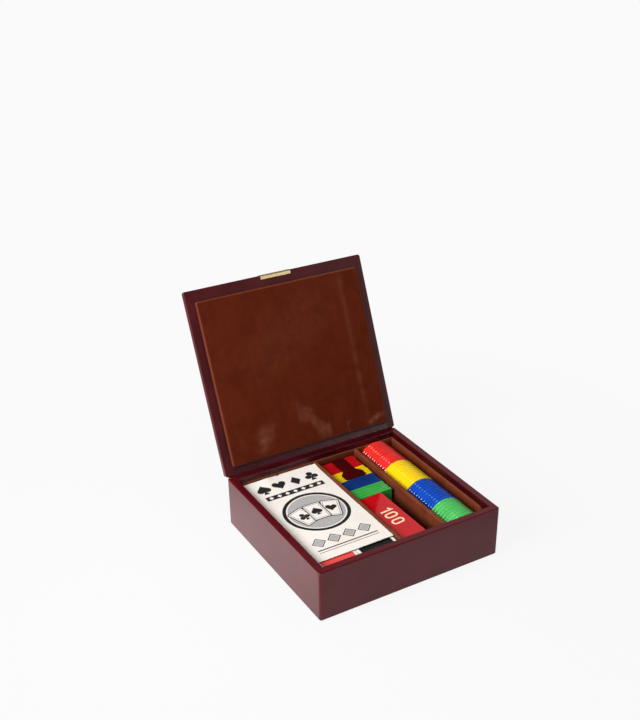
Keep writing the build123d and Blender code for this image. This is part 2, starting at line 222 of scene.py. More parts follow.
def resin(name, colour, deep, roughness=0.10, shine=0.5):
    """Cast resin: even and glossy, with faint clouds and fine handling scratches."""
    s = Surface(name, Specular_IOR_Level=shine)
    s.vary(s.noise(18 * MM), 0.4, 0.75, colour, deep)
    s.set("Roughness", s.span(s.noise(5 * MM, detail=4), 0.35, 0.7, roughness * 0.7, roughness * 1.4))
    s.bump(s.noise(14 * MM, detail=1), 0.03 * MM)
    s.bump(s.noise(0.8 * MM), 0.002 * MM)
    return s.material


def paper(name, colour, shade):
    """Uncoated paper: fibres, and a little yellowing in patches."""
    s = Surface(name, Specular_IOR_Level=0.3, Roughness=0.72)
    s.vary(s.noise(40 * MM, detail=5), 0.45, 0.75, colour, shade)
    s.bump(s.noise(0.7 * MM, detail=3), 0.03 * MM)
    s.bump(s.noise(22 * MM), 0.25 * MM)
    return s.material


def ink(name, colour):
    """Print on the paper, a little uneven."""
    s = Surface(name, Specular_IOR_Level=0.35, Roughness=0.6)
    lighter = tuple(min(1.0, c * 1.6 + 0.02) for c in colour)
    thin = s.span(s.noise(1.6 * MM, detail=4), 0.5, 0.75, 0.0, 0.6)
    s.set("Base Color", s.mix(thin, colour, lighter))
    return s.material


def card_back(name, colour, line, shine=0.5):
    """A card's back: a white border round a field with a plain diamond lattice."""
    s = Surface(name, Specular_IOR_Level=shine, Roughness=0.25)
    across = s.painted("card_x")
    down = s.painted("card_y")
    lattice = [s.math("PINGPONG", s.math(operation, across, down), 1.6 * MM)
               for operation in ("ADD", "SUBTRACT")]
    near_line = s.math("MINIMUM", *lattice)
    field = s.mix(s.span(near_line, 0.1 * MM, 0.3 * MM, 0.55, 0.0), colour, line)
    squares = []
    for along, half in ((across, field_half.x), (down, field_half.y)):
        beyond = s.math("MAXIMUM", s.math("SUBTRACT", s.math("ABSOLUTE", along), half), 0.0)
        squares.append(s.math("POWER", beyond, 2.0))
    edge = s.math("SQRT", s.math("ADD", *squares))
    s.vary(edge, field_corner - 0.15 * MM, field_corner + 0.15 * MM, field, (0.84, 0.81, 0.74))
    s.bump(s.noise(9 * MM, detail=1), 0.05 * MM)
    return s.material


def card_edges(name):
    """The cut edges of a pack: layered, slightly soiled white."""
    s = Surface(name, Specular_IOR_Level=0.3, Roughness=0.65)
    s.vary(s.noise(3 * MM, detail=4), 0.4, 0.75, (0.84, 0.8, 0.7), (0.6, 0.53, 0.42))
    return s.material


def brass(name):
    """Lacquered brass, darkened over its bend and front face by a painted dark reflection."""
    s = Surface(name, Metallic=0.6)
    worn = s.noise(9 * MM)
    metal = s.mix(s.span(worn, 0.35, 0.75), (1.0, 0.80, 0.44), (0.96, 0.74, 0.38))
    # Dark brown where the painted reflection band lies.
    s.set("Base Color", s.mix(s.painted("dark_reflection_band"), metal, (0.36, 0.25, 0.10)))
    s.set("Roughness", s.span(worn, 0.35, 0.7, 0.26, 0.34))
    return s.material


def steel(name):
    """Bright drawn wire."""
    s = Surface(name, Metallic=1.0, Base_Color=(0.62, 0.62, 0.64))
    s.set("Roughness", s.span(s.noise(1 * MM), 0.3, 0.7, 0.2, 0.4))
    return s.material


def wood(name):
    """Plain poplar board, with straight grain."""
    s = Surface(name, Specular_IOR_Level=0.3, Roughness=0.7)
    rings = s.noise(3 * MM, detail=4, place=s.stretched(0.08, 1, 1))
    s.vary(rings, 0.35, 0.7, (0.5, 0.33, 0.18), (0.33, 0.2, 0.1))
    s.bump(rings, 0.05 * MM)
    return s.material


def board(name):
    """Grey-brown bookbinder's board, with flecks."""
    s = Surface(name, Specular_IOR_Level=0.2, Roughness=0.85)
    s.vary(s.noise(0.9 * MM, detail=3), 0.4, 0.7, (0.4, 0.31, 0.2), (0.25, 0.19, 0.13))
    return s.material


def felt(name):
    """Dark baize: a soft matted pile."""
    s = Surface(name, Specular_IOR_Level=0.15, Roughness=0.95, Sheen_Weight=0.3)
    pile = s.noise(0.6 * MM, detail=4)
    s.vary(pile, 0.35, 0.7, (0.035, 0.012, 0.012), (0.075, 0.028, 0.024))
    s.bump(pile, 0.2 * MM)
    return s.material


pack_low, pack_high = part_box("red_pack")
card_border = 4.2 * MM
field_corner = 1.5 * MM
field_half = (pack_high - pack_low) / 2 - Vector((1, 1, 0)) * (card_border + field_corner)

cover_leather = leather("cover_leather", (0.081, 0.0018, 0.0048), (0.096, 0.0032, 0.0078), 0.24)
lining_leather = leather("lining_leather", (0.050, 0.0030, 0.0046), (0.072, 0.0055, 0.0075), 0.36, shine=0.26)
# A darker copy of the cover leather: painted shade for the base's inner walls.
shaded_inside_leather = leather("shaded_inside_leather", (0.032, 0.0006, 0.0020), (0.046, 0.0010, 0.0030), 0.34, shine=0.2)
# A darker copy of the cover leather: painted shade on the inner hinge strip under the open lid.
shaded_strip_leather = leather("shaded_strip_leather", (0.034, 0.0010, 0.0025), (0.058, 0.0030, 0.007), 0.24, shine=0.5)
tab_hide = leather("tab_hide", (0.048, 0.0004, 0.001), (0.062, 0.0008, 0.002), 0.40, shine=0.12)
# The third colour is the paler suede of wear and of painted edge highlights.
insert_suede = suede("insert_suede", (0.112, 0.0200, 0.0070), (0.172, 0.0370, 0.0135), (0.31, 0.100, 0.046))
pad_suede = suede("pad_suede", (0.078, 0.0098, 0.0028), (0.108, 0.0155, 0.0046), (0.22, 0.078, 0.043))
chip_resins = {
    "red": resin("red_resin", (0.80, 0.032, 0.024), (0.74, 0.022, 0.018)),
    "yellow": resin("yellow_resin", (0.96, 0.66, 0.006), (0.93, 0.62, 0.005)),
    "blue": resin("blue_resin", (0.006, 0.078, 0.50), (0.005, 0.060, 0.43)),
    "green": resin("green_resin", (0.10, 0.55, 0.133), (0.08, 0.48, 0.11)),
}
plaque_resins = {
    "red": resin("red_plaque_resin", (0.50, 0.005, 0.007), (0.42, 0.003, 0.006)),
    "yellow": resin("yellow_plaque_resin", (0.80, 0.58, 0.006), (0.72, 0.50, 0.005)),
    "blue": resin("blue_plaque_resin", (0.002, 0.038, 0.200), (0.002, 0.028, 0.15)),
    "green": resin("green_plaque_resin", (0.045, 0.43, 0.068), (0.035, 0.35, 0.055)),
}
bar_resin = resin("bar_resin", (0.56, 0.003, 0.008), (0.52, 0.003, 0.008), roughness=0.05, shine=0.75)
numeral_paint = ink("numeral_paint", (0.98, 0.70, 0.45))
cover_paper = paper("cover_paper", (0.90, 0.84, 0.78), (0.84, 0.77, 0.69))
page_paper = paper("page_paper", (0.78, 0.72, 0.62), (0.68, 0.6, 0.48))
black_ink = ink("black_ink", (0.012, 0.011, 0.011))
grey_ink = ink("grey_ink", (0.42, 0.41, 0.40))
red_backs = card_back("red_card_backs", (0.78, 0.035, 0.03), (0.9, 0.3, 0.25))
black_backs = card_back("black_card_backs", (0.006, 0.008, 0.007), (0.022, 0.026, 0.023), shine=0.15)
pack_edges = card_edges("pack_edges")
plate_brass = brass("plate_brass")
staple_steel = steel("staple_steel")
board_wood = wood("board_wood")
pad_card = board("pad_card")
base_felt = felt("base_felt")


# Making meshes

def in_scene(name, data):
    """An object with that mesh, camera or light, linked into the scene."""
    made = bpy.data.objects.new(name, data)
    bpy.context.scene.collection.objects.link(made)
    return made


def piece(name, shape, material, body=None, replaces=(), crease=38):
    """A piece of the model from points and faces, smooth apart from edges sharper than crease degrees."""
    verts, faces = shape
    mesh = bpy.data.meshes.new(name)
    mesh.from_pydata([tuple(v) for v in verts], [], faces)
    cleaned = bmesh.new()
    cleaned.from_mesh(mesh)
    bmesh.ops.recalc_face_normals(cleaned, faces=cleaned.faces)
    cleaned.to_mesh(mesh)
    cleaned.free()
    mesh.shade_smooth()
    mesh.set_sharp_from_angle(angle=math.radians(crease))
    made = in_scene(name, mesh)
    mesh.materials.append(material)
    weigh = made.modifiers.new("flat_faces_stay_flat", "WEIGHTED_NORMAL")
    weigh.keep_sharp = True
    if body:
        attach(made, body)
    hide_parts(*replaces)
    return made


def paint(made, name, values):
    """Store one number for each point of a piece, for its material to read."""
    layer = made.data.attributes.new(name, "FLOAT", "POINT")
    layer.data.foreach_set("value", values)


def recolour(made, material, chosen):
    """Give the faces that chosen picks a second material."""
    made.data.materials.append(material)
    for face in made.data.polygons:
        face.material_index = int(chosen(face))


def skin(rings, looped=False):
    """Points and faces of a surface through rings of equally many points, closed at its ends or looped."""
    count = len(rings[0])
    faces = []
    pairs = [(i, i + 1) for i in range(len(rings) - 1)]
    if looped:
        pairs.append((len(rings) - 1, 0))
    for low, high in pairs:
        for k in range(count):
            n = (k + 1) % count
            faces.append((low * count + k, low * count + n, high * count + n, high * count + k))
    if not looped:
        faces.append(tuple(reversed(range(count))))
        faces.append(tuple(range((len(rings) - 1) * count, len(rings) * count)))
    return [v for ring in rings for v in ring], faces


def gather(parts):
    """Points and faces of several meshes as one."""
    verts, faces = [], []
    for part_verts, part_faces in parts:
        base = len(verts)
        verts += part_verts
        faces += [tuple(base + i for i in face) for face in part_faces]
    return verts, faces


def quarter(steps):
    """The sines and cosines of a quarter turn cut into steps."""
    turns = [math.pi / 2 * step / steps for step in range(steps + 1)]
    return [(math.sin(t), math.cos(t)) for t in turns]


def part_way(a, b, share):
    return (a[0] + (b[0] - a[0]) * share, a[1] + (b[1] - a[1]) * share)


def divide(path, spacing):
    """The path with its straight runs cut to about that spacing."""
    cut = []
    for a, b in zip(path, path[1:]):
        parts = max(1, round(math.dist(a, b) / spacing))
        cut += [part_way(a, b, i / parts) for i in range(parts)]
    return cut + [path[-1]]


def rounded_path(points, radius, steps=5):
    """An open path with its corners rounded."""
    path = [points[0]]
    for before, here, after in zip(points, points[1:], points[2:]):
        b, h, a = Vector(before), Vector(here), Vector(after)
        cut = min(radius, (h - b).length * 0.45, (a - h).length * 0.45)
        start = h + (b - h).normalized() * cut
        end = h + (a - h).normalized() * cut
        for step in range(steps + 1):
            t = step / steps
            path.append(tuple(start * (1 - t) ** 2 + h * 2 * t * (1 - t) + end * t * t))
    return path + [points[-1]]


def rounded_rectangle(low, high, radius, steps=5, side_steps=1):
    """Outline of a rectangle with round corners, anticlockwise, with each side divided."""
    corners = (
        (high[0] - radius, low[1] + radius, -90),
        (high[0] - radius, high[1] - radius, 0),
        (low[0] + radius, high[1] - radius, 90),
        (low[0] + radius, low[1] + radius, 180),
    )
    arcs = []
    for x, y, start in corners:
        angles = [math.radians(start + 90 * step / steps) for step in range(steps + 1)]
        arcs.append([(x + radius * math.cos(angle), y + radius * math.sin(angle)) for angle in angles])
    outline = []
    for arc, after in zip(arcs, arcs[1:] + arcs[:1]):
        outline += arc + [part_way(arc[-1], after[0], step / side_steps) for step in range(1, side_steps)]
    return outline


def rectangle(half_x, half_y):
    return [(-half_x, -half_y), (half_x, -half_y), (half_x, half_y), (-half_x, half_y)]


def circle(radius, steps, centre=(0, 0)):
    turns = [2 * math.pi * k / steps for k in range(steps)]
    return [(centre[0] + radius * math.cos(t), centre[1] + radius * math.sin(t)) for t in turns]


def inset(outline, distance):
    """The outline moved inwards, each point along the middle of its two edges' normals."""
    moved_in = []
    for k, here in enumerate(outline):
        at = Vector(here)
        first = (at - Vector(outline[k - 1])).normalized()
        second = (Vector(outline[(k + 1) % len(outline)]) - at).normalized()
        first_normal = Vector((-first.y, first.x))
        normal = first_normal + Vector((-second.y, second.x))
        if normal.length < 1e-9:
            normal = first_normal
        normal.normalize()
        moved_in.append(tuple(at + normal * (distance / max(0.35, normal.dot(first_normal)))))
    return moved_in


def edge_profile(thick, radius, steps):
    """Insets and heights from a slab's lower face to its upper one, round at both edges."""
    lower = [(radius * (1 - sine), radius * (1 - cosine)) for sine, cosine in quarter(steps)]
    upper = [(radius * (1 - cosine), thick - radius * (1 - sine)) for sine, cosine in quarter(steps)]
    return lower + upper


def barrel_profile(thick, bulge, steps=5):
    """Insets and heights of a rim that swells by that much to its middle."""
    shares = [-1 + k / steps for k in range(2 * steps + 1)]
    return [(bulge * share**2, thick / 2 * (1 + share)) for share in shares]


def slab(outline, thick, radius, place=upright, steps=3, faces_in=(), profile=None):
    """A flat solid with that outline, and edges that are round or follow a profile.

    faces_in are further insets and depths on both faces.
    """
    profile = profile or edge_profile(thick, radius, steps)
    below = [(d, depth) for d, depth in reversed(faces_in)]
    above = [(d, thick - depth) for d, depth in faces_in]
    rings = []
    for d, z in below + profile + above:
        rings.append([place @ Vector((x, y, z)) for x, y in inset(outline, d)])
    return skin(rings)


def along_x(x):
    """A place whose flat outlines lie in YZ and whose height runs along X."""
    return Matrix(((0, 0, 1, x), (1, 0, 0, 0), (0, 1, 0, 0), (0, 0, 0, 1)))


def along_y(x, y, z):
    """A place whose flat outlines lie in XZ and whose height runs back along Y."""
    return Matrix(((1, 0, 0, x), (0, 0, -1, y), (0, 1, 0, z), (0, 0, 0, 1)))


def stacked(centre, bottom, count, pitch, play_x, play_y):
    """Places of pieces stacked from the bottom up, each a little out of line."""
    places = []
    for number in range(count):
        shift = Vector((random.uniform(-play_x, play_x), random.uniform(-play_y, play_y), 0))
        places.append(Matrix.Translation(Vector((centre.x, centre.y, bottom + number * pitch)) + shift))
    return places


def in_a_row(node, count, play, rise):
    """The pitch and the places of pieces stood one before another along a node, each a little out of line."""
    gap = 0.3 * MM
    low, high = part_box(node)
    middle = (low + high) / 2
    pitch = (high.y - low.y + gap) / count
    places = []
    for number in range(count):
        shift = Vector((random.uniform(-play, play), 0, random.uniform(*rise)))
        places.append(Matrix.Translation(shift) @ along_y(middle.x, high.y - number * pitch, middle.z))
    return pitch, places


def stroke(points, width, closed=False):
    """A flat line of that width through points: the points of its left and right edges, and its faces."""
    count = len(points)
    left, right = [], []
    for k, here in enumerate(points):
        before = Vector(points[k - 1] if closed or k else here)
        after = Vector(points[(k + 1) % count] if closed or k < count - 1 else here)
        direction = (after - before).normalized()
        normal = Vector((-direction.y, direction.x)) * width / 2
        left.append(Vector(here) + normal)
        right.append(Vector(here) - normal)
    faces = [(k, (k + 1) % count, count + (k + 1) % count, count + k)
             for k in range(count if closed else count - 1)]
    return left + right, faces


# Base: leather over the walls, rim and inside

base_low, base_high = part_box("base_leather")
rim_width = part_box("left_liner")[0].x - base_low.x
hide = 1.2 * MM
corner_radius = 3.5 * MM
rim_radius = 1.6 * MM
inner_rim_radius = 1.1 * MM
foot_radius = 1.8 * MM
seam_depth = 0.45 * MM
corner_steps = 6
side_steps = 24


def leather_ring(low, high, radius, height, seamed, place=upright):
    """A ring of leather round a rectangle. Where it is seamed, its corners dip in a mitre."""
    flat = rounded_rectangle(low, high, max(radius, 0.5 * MM), corner_steps, side_steps)
    ring = []
    for k, (x, y) in enumerate(flat):
        at_mitre = k % (corner_steps + side_steps) == corner_steps // 2
        ring.append(place @ Vector((x, y, height - (seam_depth if seamed and at_mitre else 0))))
    return ring


def base_ring(distance, height):
    """A ring of the base at that distance inside its outer face, seamed on the rim."""
    low = (base_low.x + distance, base_low.y + distance)
    high = (base_high.x - distance, base_high.y - distance)
    on_rim = height > base_high.z - 0.9 * MM
    return leather_ring(low, high, corner_radius - distance, height, on_rim)


def leather_base():
    """The hide: under the foot, up the walls, over the rim, down the inside and back as its own thickness."""
    top = base_high.z
    foot = base_low.z
    turned_in = 16.2 * MM
    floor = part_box("insert_floor")[0].z
    path = [(turned_in, foot)]
    path += [(foot_radius * (1 - sine), foot + foot_radius * (1 - cosine)) for sine, cosine in quarter(4)]
    path += [(0, foot + (top - foot) * share) for share in (0.2, 0.4, 0.6, 0.8)]
    path += [(rim_radius * (1 - cosine), top - rim_radius * (1 - sine)) for sine, cosine in quarter(5)]
    path += [(rim_width * share, top) for share in (0.4, 0.6, 0.8)]
    path += [(rim_width - inner_rim_radius * (1 - sine), top - inner_rim_radius * (1 - cosine))
             for sine, cosine in quarter(4)]
    path += [(rim_width, floor), (rim_width - hide, floor), (rim_width - hide, top - hide),
             (hide, top - hide), (hide, foot + hide), (turned_in, foot + hide)]
    shape = skin([base_ring(d, z) for d, z in path], looped=True)
    made = piece("base_cover", shape, cover_leather, "base", ["base_leather"])

    def inside(face):
        depth = min(face.center.x - base_low.x, base_high.x - face.center.x,
                    face.center.y - base_low.y, base_high.y - face.center.y)
        return depth > rim_width - 0.6 * MM and face.center.z < top - 0.5 * MM

    # The inner wall faces take the darker copy: painted shade inside the box.
    recolour(made, shaded_inside_leather, inside)


leather_base()

# Lid: leather shell, suede pad and thumb plate

lid_low, lid_high = lid_box("lid_leather")
pad_low, pad_high = lid_box("lid_pad")
pad_board_low, pad_board_high = lid_box("lid_pad_board")
lid_edge_radius = 1.5 * MM
lid_inner_radius = 0.9 * MM


def lid_ring(inward, out, groove=False):
    """A ring of the lid at those distances inside its sides, hinge edge and front edge, or at one for all."""
    side, back, front = inward if isinstance(inward, tuple) else (inward, inward, inward)
    low = (lid_low.x + side, lid_low.y + back)
    high = (lid_high.x - side, lid_high.y - front)
    return leather_ring(low, high, corner_radius - min(side, back, front), out, groove, lid_matrix)


def leather_lid():
    """The hide: turned in under the pad's board, round the inner face and the edges, over the outside."""
    back_face = lid_low.z
    middle = 60 * MM
    recess = (pad_board_low.x - lid_low.x, pad_board_low.y - lid_low.y, lid_high.y - pad_board_high.y)
    rings = [lid_ring(middle, back_face + hide), lid_ring(hide, back_face + hide), lid_ring(hide, -hide),
             lid_ring(recess, -hide), lid_ring(recess, 0)]
    for share in (0.66, 0.33):
        inward = tuple(lid_inner_radius + (distance - lid_inner_radius) * share for distance in recess)
        rings.append(lid_ring(inward, 0, groove=True))
    for k, (sine, cosine) in enumerate(quarter(4)):
        rings.append(lid_ring(lid_inner_radius * (1 - sine), -lid_inner_radius * (1 - cosine), groove=k == 0))
    rings += [lid_ring(0, back_face * share) for share in (0.35, 0.65)]
    rings += [lid_ring(lid_edge_radius * (1 - cosine), back_face + lid_edge_radius * (1 - sine))
              for sine, cosine in quarter(5)]
    rings += [lid_ring(distance, back_face) for distance in (8 * MM, 25 * MM, middle)]
    made = piece("lid_cover", skin(rings), cover_leather, "lid", ["lid_leather"])
    to_lid = lid_matrix.inverted()
    recolour(made, lining_leather, lambda face: (to_lid @ face.center).z > -0.2 * MM)


# Handling marks: x and y from the pad's left hinge corner, half length and half width, all in mm,
# then the turn in radians and the strength
rub_marks = (
    (57, 25, 19, 10, 1.24, 0.42),
    (136, 33, 30, 8, -0.89, 0.34),
    (152, 14, 10, 9, 0.0, 0.28),
    (237, 10, 14, 5, 0.25, 0.85),
    (192, 9, 8, 1.5, 1.5, 0.4),
    (130, 170, 95, 40, 0.5, 0.08),
)
fold_x = 225 * MM
fold_width = 4 * MM
fold_strength = 0.28


def pad_rubs(x, y):
    """How worn the pad is, at a place measured from its left hinge corner: the marks and a faint fold."""
    spot = Vector((x, y, 0))
    warp = noise.noise_vector(spot / (16 * MM)) * 9 + noise.noise_vector(spot / (5 * MM)) * 3
    total = 0.0
    for mark_x, mark_y, long, wide, turn, strength in rub_marks:
        dx = x / MM - mark_x + warp.x
        dy = y / MM - mark_y + warp.y
        along = dx * math.cos(turn) + dy * math.sin(turn)
        across = dy * math.cos(turn) - dx * math.sin(turn)
        total += strength * math.exp(-((along / long) ** 4) - (across / wide) ** 4)
    total *= 0.75 + 0.7 * noise.noise(spot / (7 * MM) + Vector((0, 0, 5)))
    fold = math.exp(-(((x - fold_x) / fold_width) ** 2)) * min(1.0, y / (50 * MM))
    patchy = 0.6 + 0.8 * noise.noise(Vector((0, y / (14 * MM), 0)))
    return max(0.0, total + fold_strength * fold * patchy)


def lid_pad():
    """A suede covered pad with a low crown, soft edges and a slightly uneven face."""
    height = pad_high.z
    crown = 1.0 * MM
    wave_height = 0.3 * MM
    edge = ((0, 0), (0.05, 0.3), (0.2, 0.6), (0.55, 0.8), (1.1, 0.93), (1.9, 0.985), (3.0, 1.0))
    insets = [(d * MM, share) for d, share in edge]
    insets += [(d * MM, 1.0) for d in range(6, 116, 3)]
    low = pad_low.xy
    high = pad_high.xy
    centre = (low + high) / 2
    reach = (high - centre).length
    rings, wear_and_highlight = [], []
    for d, share in insets:
        inward = Vector((d, d))
        radius = max(3.5 * MM - d, 0.4 * MM)
        # A painted highlight in a narrow band just inside the pad's edge.
        edge_highlight = math.exp(-(((d - 0.7 * MM) / (0.8 * MM)) ** 2))
        ring = []
        for x, y in rounded_rectangle(low + inward, high - inward, radius, 4, side_steps=80):
            fall = (Vector((x, y)) - centre).length / reach
            wave = wave_height * noise.noise(Vector((x, y, 0)) * 22) * min(1.0, d / (12 * MM))
            out = share * (height - crown * fall * fall) + wave - wave_height
            ring.append(lid_matrix @ Vector((x, y, max(out, 0))))
            # The painted edge highlight grows stronger towards the right, and adds to the handling marks.
            border = (0.38 + 0.3 * (x - low.x) / (high.x - low.x)) * edge_highlight
            wear_and_highlight.append(min(1.0, pad_rubs(x - low.x, y - low.y) + border))
        rings.append(ring)
    made = piece("suede_pad", skin(rings), pad_suede, "lid", ["lid_pad"], crease=60)
    paint(made, "wear_and_highlight", wear_and_highlight)


def thumb_plate():
    """A brass strip folded over the lid's front edge, with soft ends."""
    low, high = lid_box("thumb_plate")
    metal = 0.6 * MM
    bend = 2.4 * MM
    soft = 0.25 * MM
    front = lid_high.y + metal
    leaf_start = front - 6.2 * MM
    foot = lid_low.z + 2 * MM
    outside = [(leaf_start, metal)]
    inside = [(leaf_start, 0)]
    for sine, cosine in quarter(5):
        outside.append((front - bend * (1 - sine), metal - bend * (1 - cosine)))
        inside.append((front - bend + (bend - metal) * sine, metal - bend + (bend - metal) * cosine))
    outside.append((front, foot))
    inside.append((front - metal, foot))
    section = outside + inside[::-1]
    rings = []
    for x, shrink in ((low.x, 0.1 * MM), (low.x + soft, 0), (high.x - soft, 0), (high.x, 0.1 * MM)):
        rings.append([lid_matrix @ Vector((x, y, z)) for y, z in inset(section, -shrink)])
    made = piece("brass_thumb_plate", skin(rings), plate_brass, "lid", ["thumb_plate"])
    # A painted dark reflection over the bend and the front face.
    dark_reflection_band = [min(1.0, max(0.0, (y - front + bend) / (0.5 * bend))) for y, _ in section]
    paint(made, "dark_reflection_band", dark_reflection_band * len(rings))


leather_lid()
lid_pad()
thumb_plate()

# Hinge: two leather strips that bend between the base and the lid

inner_thickness = 0.8 * MM
outer_thickness = 1.0 * MM
lid_thickness = -lid_low.z


def beside_hinge(along, out):
    """The (y, z) of a point by the open lid: along it from the hinge, and out of its inner face."""
    spot = hinge + lid_along * along + lid_out * out
    return (spot.y, spot.z)


def hinge_strip(name, node, material, face, back, creases):
    """A strip of leather along the hinge: its face path, its back path, wrinkled near the creases.

    Each crease is its y and z, how far it reaches, and how deep its wrinkles are.
    """
    half_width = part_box(node)[1].x
    face = divide(face, 0.7 * MM)
    columns = round(2 * half_width / (1.1 * MM))
    rings = []
    for column in range(columns + 1):
        x = -half_width + 2 * half_width * column / columns
        ring = []
        for y, z in face:
            wobble = noise.noise(Vector((x / (2.6 * MM), y / (9 * MM), z / (9 * MM))))
            lift = 0.12 * MM * noise.noise(Vector((x / (24 * MM), y / (12 * MM), 3.1)))
            for crease_y, crease_z, reach, depth in creases:
                near = math.exp(-((math.dist((y, z), (crease_y, crease_z)) / reach) ** 2))
                lift += depth * near * wobble
            ring.append(Vector((x, y - lift * 0.6, z + lift * 0.8)))
        rings.append(ring + [Vector((x, y, z)) for y, z in reversed(back)])
    made = piece(name, skin(rings), material, None, [node], crease=50)
    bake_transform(made)


def inner_hinge():
    """The inside strip: up the back wall, over the rim and onto the lid."""
    wall = base_high.y - rim_width
    top = base_high.z
    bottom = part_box("hinge_leather_inner")[0].z
    on_lid = 9.0 * MM
    fold = (hinge.y - 0.35 * MM, top + inner_thickness)
    face = rounded_path([
        (wall - inner_thickness, bottom),
        (wall - inner_thickness, top + inner_thickness),
        fold,
        beside_hinge(on_lid, inner_thickness),
    ], 1.5 * MM)
    face.append(beside_hinge(on_lid + 0.3 * MM, 0.15 * MM))
    back = [(wall, bottom), (wall, top), (hinge.y, top), beside_hinge(0, 0), beside_hinge(on_lid, 0)]
    creases = (
        (*fold, 1.5 * MM, 0.40 * MM),
        (wall, top, 2.0 * MM, 0.30 * MM),
        (*beside_hinge(on_lid, 0), 1.6 * MM, 0.1 * MM),
    )
    # The inner strip uses the darker leather copy: painted shade under the lid.
    hinge_strip("hinge_strip_inside", "hinge_leather_inner", shaded_strip_leather, face, back, creases)


def outer_hinge():
    """The outside strip: up the back and onto the lid's outer face."""
    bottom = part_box("hinge_leather_outer")[0].z
    wall = base_high.y
    on_lid = 20.0 * MM
    fold_out = -outer_thickness * (1 - math.cos(opening)) / math.sin(opening)
    outer_fold = beside_hinge(-outer_thickness, fold_out)
    lid_corner = beside_hinge(0, -lid_thickness)
    face = rounded_path([
        (wall, bottom),
        (wall + outer_thickness, bottom + 0.6 * MM),
        outer_fold,
        beside_hinge(-outer_thickness, -lid_thickness - outer_thickness),
        beside_hinge(on_lid - 0.6 * MM, -lid_thickness - outer_thickness),
        beside_hinge(on_lid, -lid_thickness),
    ], 1.6 * MM)
    back = [(wall, bottom + 0.3 * MM), (wall, hinge.z), lid_corner,
            beside_hinge(on_lid - 0.3 * MM, -lid_thickness)]
    creases = (
        (*outer_fold, 3.0 * MM, 0.35 * MM),
        (*lid_corner, 3.0 * MM, 0.15 * MM),
    )
    hinge_strip("hinge_strip_outside", "hinge_leather_outer", cover_leather, face, back, creases)


inner_hinge()
outer_hinge()

# Insert: suede covered boards


def soft_board(node, radius, top_wear_and_highlight, nose=0.0, short=0.0):
    """A suede covered board the size of its node, with round edges and a top edge that is paler from wear and
    a painted highlight.

    nose rounds its front top corner, and short takes that much off its front end.
    """
    low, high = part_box(node)
    front = low.y + short
    outline = [(front, low.z), (high.y, low.z), (high.y, high.z)]
    if nose:
        outline += [(front + nose * (1 - sine), high.z - nose * (1 - cosine)) for sine, cosine in quarter(8)]
    else:
        outline.append((front, high.z))
    outline = divide(outline + outline[:1], 6 * MM)[:-1]
    shape = slab(outline, high.x - low.x, radius, along_x(low.x), steps=4)
    made = piece(f"suede_{node}", shape, insert_suede, "base", [node])
    # Paler within a few millimetres of the top: wear, and a painted highlight along the top edge.
    worn = []
    for v in shape[0]:
        nearness = max(0.0, 1 - (high.z - v.z) / (2.2 * MM))
        worn.append(top_wear_and_highlight * nearness * (0.75 + 0.5 * noise.noise(v * 90)))
    paint(made, "wear_and_highlight", worn)


for liner in ("front_liner", "back_liner", "left_liner"):
    soft_board(liner, 0.9 * MM, top_wear_and_highlight=0.35)
soft_board("right_liner", 0.9 * MM, top_wear_and_highlight=0.5, nose=13 * MM, short=5 * MM)
for divider in ("card_divider", "plaque_divider"):
    soft_board(divider, 1.5 * MM, top_wear_and_highlight=0.4)

# Packs of cards, each card a little out of line

cards_in_pack = 36
card_corner = 3.5 * MM


def pack_of_cards(name, node, backs):
    low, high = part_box(node)
    middle = (low + high) / 2
    pitch = (high.z - low.z) / cards_in_pack
    thick = pitch * 0.86
    edge = 0.1 * MM
    play = 0.12 * MM
    half = (high - low) / 2 - Vector((play, play, 0))
    outline = rounded_rectangle(-half, half, card_corner)
    places = stacked(middle, low.z, cards_in_pack, pitch, play, play)
    shape = gather([slab(outline, thick, edge, place, steps=1) for place in places])
    made = piece(name, shape, pack_edges, "packs", [node], crease=30)
    recolour(made, backs, lambda face: abs(face.normal.z) > 0.9 and len(face.vertices) > 4)
    paint(made, "card_x", [v.x - middle.x for v in shape[0]])
    paint(made, "card_y", [v.y - middle.y for v in shape[0]])


for end, prefix in (("front", ""), ("rear", "rear_")):
    for colour, backs in (("red", red_backs), ("black", black_backs)):
        pack_of_cards(f"{colour}_cards_{end}", f"{prefix}{colour}_pack", backs)

# Plaques and chips

pulled_drop = 1.5 * MM


def filed_plaques(colour, body, count, lean, drop=0.0):
    """Plaques standing on their long edges, a little uneven, leaning by that many degrees, lower by drop."""
    node = f"{colour}_plaques"
    gap = 0.4 * MM
    edge = 1.0 * MM
    corner = 2.0 * MM
    low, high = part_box(node)
    half = (high - low) / 2
    outline = rounded_rectangle((-half.x, -half.z), (half.x, half.z - drop), corner)
    tilt = Matrix.Rotation(math.radians(lean), 4, "Z")
    pitch, places = in_a_row(node, count, 0.5 * MM, (-0.35 * MM, 0.0))
    shape = gather([slab(outline, pitch - gap, edge, place @ tilt) for place in places])
    piece(f"{colour}_filed_plaques", shape, plaque_resins[colour], body, [node])


def chip_row(colour, count, bulge):
    """Round chips on edge, with rims that swell by that much and a shallow ring on each face."""
    node = f"{colour}_chips"
    gap = 0.06 * MM
    clearance = 0.2 * MM
    low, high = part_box(node)
    outline = circle((high.z - low.z) / 2 - clearance, 96)
    pitch, places = in_a_row(node, count, 0.12 * MM, (0.0, 0.16 * MM))
    thick = pitch - gap
    rim = barrel_profile(thick, bulge)
    ring_depth = 0.5 * MM
    face_rings = ((5.0 * MM, 0.0), (5.6 * MM, ring_depth), (14 * MM, ring_depth), (14.6 * MM, 0.1 * MM))
    chips = [slab(outline, thick, 0.0, place, faces_in=face_rings, profile=rim) for place in places]
    piece(f"{colour}_round_chips", gather(chips), chip_resins[colour], f"{colour}_row", [node])


